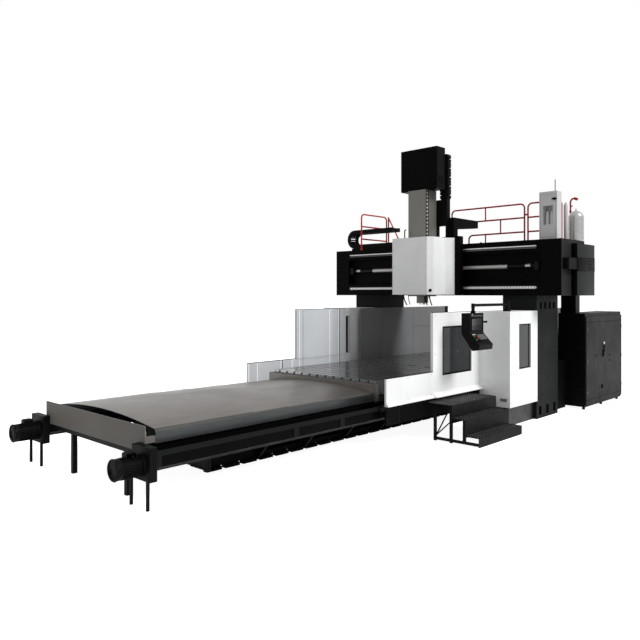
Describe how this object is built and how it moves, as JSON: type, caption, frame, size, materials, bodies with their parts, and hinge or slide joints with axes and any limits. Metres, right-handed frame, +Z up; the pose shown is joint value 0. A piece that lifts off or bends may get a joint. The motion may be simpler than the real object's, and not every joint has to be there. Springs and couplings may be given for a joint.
{
  "type": "gantry machining center",
  "caption": "Fixed-beam gantry machining center: a sliding T-slot table on a long bed under a crossbeam whose saddle carries a vertical ram and spindle.",
  "frame": {"origin": "on the floor under the spindle axis, on the centreline of the bed", "axes": "+X along the bed to the rear, -Y the operator's side, +Z up"},
  "size_m": [14.3563, 5.594, 5.299],
  "materials": {
    "machine_black": "satin",
    "trough_grey": "satin",
    "drive_black": "satin",
    "cover_steel": "satin",
    "table_iron": "ground",
    "white_panel": "satin",
    "pane": "clear",
    "rail_steel": "ground",
    "charcoal": "satin",
    "ram_grey": "satin",
    "chain_black": "matte",
    "rail_red": "gloss",
    "unit_grey": "satin",
    "bottle_silver": "satin",
    "console_black": "satin"
  },
  "bodies": {
    "frame": {"bed": "machine_black", "chip_troughs": "trough_grey", "chip_conveyors": "drive_black", "end_frames": "trough_grey", "front_cover_1": "cover_steel", "rear_cover_1": "cover_steel", "guard_frames": "machine_black", "near_guard": "white_panel", "far_guard": "white_panel", "near_housing": "white_panel", "far_housing": "white_panel", "window_glass": "pane", "near_column": "machine_black", "far_column": "machine_black", "crossbeam": "machine_black", "beam_rails": "rail_steel", "beam_screw": "rail_steel", "beam_end_units": "charcoal", "beam_chain": "chain_black", "handrail": "rail_red", "unit_cabinet": "unit_grey", "gas_bottle": "bottle_silver", "electrical_cabinet": "charcoal", "operator_steps": "charcoal"},
    "table": {"table": "table_iron", "table_end_plates": "trough_grey", "front_cover_5": "cover_steel", "rear_cover_5": "cover_steel"},
    "front_cover_2": {"front_cover_2": "cover_steel"},
    "front_cover_3": {"front_cover_3": "cover_steel"},
    "front_cover_4": {"front_cover_4": "cover_steel"},
    "rear_cover_2": {"rear_cover_2": "cover_steel"},
    "rear_cover_3": {"rear_cover_3": "cover_steel"},
    "rear_cover_4": {"rear_cover_4": "cover_steel"},
    "saddle": {"saddle": "machine_black", "head_cover": "white_panel", "ram_chain_tower": "machine_black", "saddle_bracket": "machine_black"},
    "ram": {"ram": "ram_grey", "ram_motor_box": "machine_black"},
    "spindle": {"spindle": "rail_steel"},
    "pendant_arm": {"pendant_arm": "unit_grey"},
    "console": {"pendant_console": "console_black"},
    "cabinet_door_front": {"cabinet_door_front": "charcoal"},
    "cabinet_door_rear": {"cabinet_door_rear": "charcoal"}
  },
  "joints": [
    {"name": "table_slide", "type": "slide", "parent": "frame", "child": "table", "axis": [1, 0, 0], "range_m": [-2.2, 2.6]},
    {"name": "front_cover_2_slide", "type": "slide", "parent": "frame", "child": "front_cover_2", "axis": [1, 0, 0], "range_m": [-0.551, 0.651]},
    {"name": "front_cover_3_slide", "type": "slide", "parent": "frame", "child": "front_cover_3", "axis": [1, 0, 0], "range_m": [-1.101, 1.301]},
    {"name": "front_cover_4_slide", "type": "slide", "parent": "frame", "child": "front_cover_4", "axis": [1, 0, 0], "range_m": [-1.651, 1.951]},
    {"name": "rear_cover_2_slide", "type": "slide", "parent": "frame", "child": "rear_cover_2", "axis": [1, 0, 0], "range_m": [-0.551, 0.651]},
    {"name": "rear_cover_3_slide", "type": "slide", "parent": "frame", "child": "rear_cover_3", "axis": [1, 0, 0], "range_m": [-1.101, 1.301]},
    {"name": "rear_cover_4_slide", "type": "slide", "parent": "frame", "child": "rear_cover_4", "axis": [1, 0, 0], "range_m": [-1.651, 1.951]},
    {"name": "saddle_slide", "type": "slide", "parent": "frame", "child": "saddle", "axis": [0, 1, 0], "range_m": [-1.2, 1.2]},
    {"name": "ram_slide", "type": "slide", "parent": "saddle", "child": "ram", "axis": [0, 0, 1], "range_m": [-0.9, 0]},
    {"name": "spindle_spin", "type": "hinge", "parent": "ram", "child": "spindle", "pos_m": [0, 0, 2.2], "axis": [0, 0, 1], "continuous": true},
    {"name": "pendant_swing", "type": "hinge", "parent": "frame", "child": "pendant_arm", "pos_m": [-0.372, -2.08, 2.1], "axis": [0, 0, 1], "range_deg": [-8, 95]},
    {"name": "console_turn", "type": "hinge", "parent": "pendant_arm", "child": "console", "pos_m": [-1.54, -2.08, 2.06], "axis": [0, 0, 1], "range_deg": [-60, 60]},
    {"name": "cabinet_door_front_hinge", "type": "hinge", "parent": "frame", "child": "cabinet_door_front", "pos_m": [2.092, -2.526, 1], "axis": [0, 0, 1], "range_deg": [-110, 0]},
    {"name": "cabinet_door_rear_hinge", "type": "hinge", "parent": "frame", "child": "cabinet_door_rear", "pos_m": [4.075, -2.526, 1], "axis": [0, 0, 1], "range_deg": [0, 110]}
  ],
  "couplings": [
    {"joint": "front_cover_2_slide", "follows": "table_slide", "ratio": 0.25},
    {"joint": "front_cover_3_slide", "follows": "table_slide", "ratio": 0.5},
    {"joint": "front_cover_4_slide", "follows": "table_slide", "ratio": 0.75},
    {"joint": "rear_cover_2_slide", "follows": "table_slide", "ratio": 0.25},
    {"joint": "rear_cover_3_slide", "follows": "table_slide", "ratio": 0.5},
    {"joint": "rear_cover_4_slide", "follows": "table_slide", "ratio": 0.75}
  ]
}
